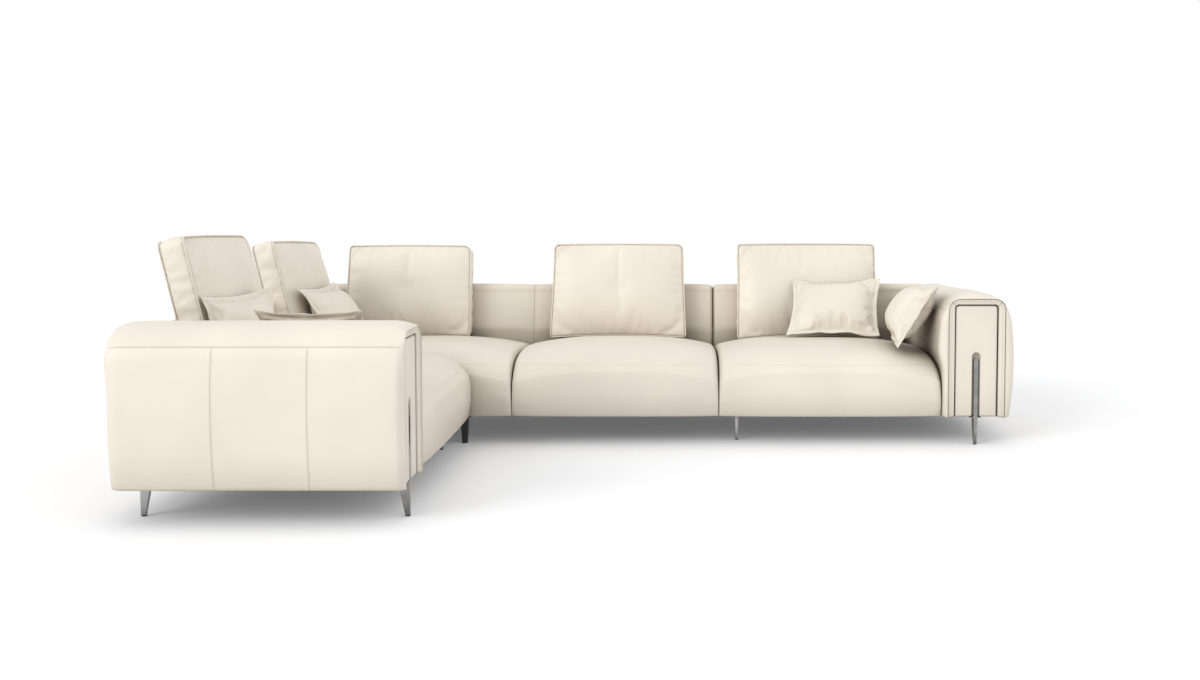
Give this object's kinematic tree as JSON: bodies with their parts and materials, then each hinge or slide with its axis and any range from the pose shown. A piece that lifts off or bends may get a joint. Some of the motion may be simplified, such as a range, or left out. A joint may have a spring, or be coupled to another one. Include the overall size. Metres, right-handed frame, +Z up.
{
  "type": "modular corner sofa",
  "caption": "L-shaped modular leather sofa: armed end modules coupled to a corner module, low back, crowned seats, loose back cushions, throw pillows and blade legs let into the arm fronts.",
  "frame": {"origin": "centre of the bounding box's footprint, on the floor", "axes": "+X along the long run towards the right arm, +Y towards the back of the long run, +Z up"},
  "size_m": [3.42, 2.32, 0.9698],
  "materials": {
    "ivory_leather": "smooth full-grain ivory leather with tone-on-tone double stitching",
    "polished_chrome": "polished chrome plate on steel",
    "black_plastic": "matt black moulded plastic",
    "timber": "sawn softwood and plywood",
    "webbing": "elastic webbing",
    "dust_cloth": "black non-woven cloth",
    "steel": "zinc-plated steel"
  },
  "bodies": {
    "corner_module": {"corner_base_frame": "timber", "corner_dust_cover": "dust_cloth", "corner_seat_straps": "webbing", "middle_seat_straps": "webbing", "rear_back_board": "timber", "side_back_board": "timber", "corner_frame_bolts": "steel", "corner_base_screws": "steel", "corner_seat_cushion": "ivory_leather", "middle_seat_cushion": "ivory_leather", "rear_back_pad": "ivory_leather", "side_back_pad": "ivory_leather", "corner_legs": "black_plastic", "coupler_tongues": "steel"},
    "left_module": {"left_base_frame": "timber", "left_dust_cover": "dust_cloth", "left_seat_straps": "webbing", "left_back_board": "timber", "left_frame_bolts": "steel", "left_base_screws": "steel", "left_arm_frame": "timber", "left_seat_cushion": "ivory_leather", "left_back_pad": "ivory_leather", "left_arm_wrap": "ivory_leather", "left_arm_band": "ivory_leather", "left_arm_panel": "ivory_leather", "left_blade_leg": "polished_chrome", "left_fin_legs": "polished_chrome", "left_glides": "black_plastic", "left_coupler_keepers": "steel"},
    "right_module": {"right_base_frame": "timber", "right_dust_cover": "dust_cloth", "right_seat_straps": "webbing", "right_back_board": "timber", "right_frame_bolts": "steel", "right_base_screws": "steel", "right_arm_frame": "timber", "right_seat_cushion": "ivory_leather", "right_back_pad": "ivory_leather", "right_arm_wrap": "ivory_leather", "right_arm_band": "ivory_leather", "right_arm_panel": "ivory_leather", "right_blade_leg": "polished_chrome", "right_fin_legs": "polished_chrome", "right_glides": "black_plastic", "right_coupler_keepers": "steel"},
    "left_back_cushion_body": {"left_back_cushion": "ivory_leather"},
    "return_back_cushion_body": {"return_back_cushion": "ivory_leather"},
    "corner_back_cushion_body": {"corner_back_cushion": "ivory_leather"},
    "middle_back_cushion_body": {"middle_back_cushion": "ivory_leather"},
    "right_back_cushion_body": {"right_back_cushion": "ivory_leather"},
    "left_rear_pillow_body": {"left_rear_pillow": "ivory_leather"},
    "left_arm_pillow_body": {"left_arm_pillow": "ivory_leather"},
    "return_pillow_body": {"return_pillow": "ivory_leather"},
    "right_rear_pillow_body": {"right_rear_pillow": "ivory_leather"},
    "right_arm_pillow_body": {"right_arm_pillow": "ivory_leather"}
  },
  "joints": [
    {"name": "left_module_parting", "type": "slide", "parent": "corner_module", "child": "left_module", "axis": [0, -1, 0], "range_m": [0, 0.3]},
    {"name": "right_module_parting", "type": "slide", "parent": "corner_module", "child": "right_module", "axis": [1, 0, 0], "range_m": [0, 0.3]},
    {"name": "left_cushion_lift", "type": "slide", "parent": "left_module", "child": "left_back_cushion_body", "axis": [-0.225, 0, 0.9744], "range_m": [0, 0.3]},
    {"name": "return_cushion_lift", "type": "slide", "parent": "corner_module", "child": "return_back_cushion_body", "axis": [-0.225, 0, 0.9744], "range_m": [0, 0.3]},
    {"name": "corner_cushion_lift", "type": "slide", "parent": "corner_module", "child": "corner_back_cushion_body", "axis": [0, 0.225, 0.9744], "range_m": [0, 0.3]},
    {"name": "middle_cushion_lift", "type": "slide", "parent": "corner_module", "child": "middle_back_cushion_body", "axis": [0, 0.225, 0.9744], "range_m": [0, 0.3]},
    {"name": "right_cushion_lift", "type": "slide", "parent": "right_module", "child": "right_back_cushion_body", "axis": [0, 0.225, 0.9744], "range_m": [0, 0.3]},
    {"name": "left_rear_pillow_lift", "type": "slide", "parent": "left_module", "child": "left_rear_pillow_body", "axis": [0, 0, 1], "range_m": [0, 0.25]},
    {"name": "left_arm_pillow_lift", "type": "slide", "parent": "left_module", "child": "left_arm_pillow_body", "axis": [0, 0, 1], "range_m": [0, 0.25]},
    {"name": "return_pillow_lift", "type": "slide", "parent": "corner_module", "child": "return_pillow_body", "axis": [0, 0, 1], "range_m": [0, 0.25]},
    {"name": "right_rear_pillow_lift", "type": "slide", "parent": "right_module", "child": "right_rear_pillow_body", "axis": [0, 0, 1], "range_m": [0, 0.25]},
    {"name": "right_arm_pillow_lift", "type": "slide", "parent": "right_module", "child": "right_arm_pillow_body", "axis": [0, 0, 1], "range_m": [0, 0.25]}
  ]
}
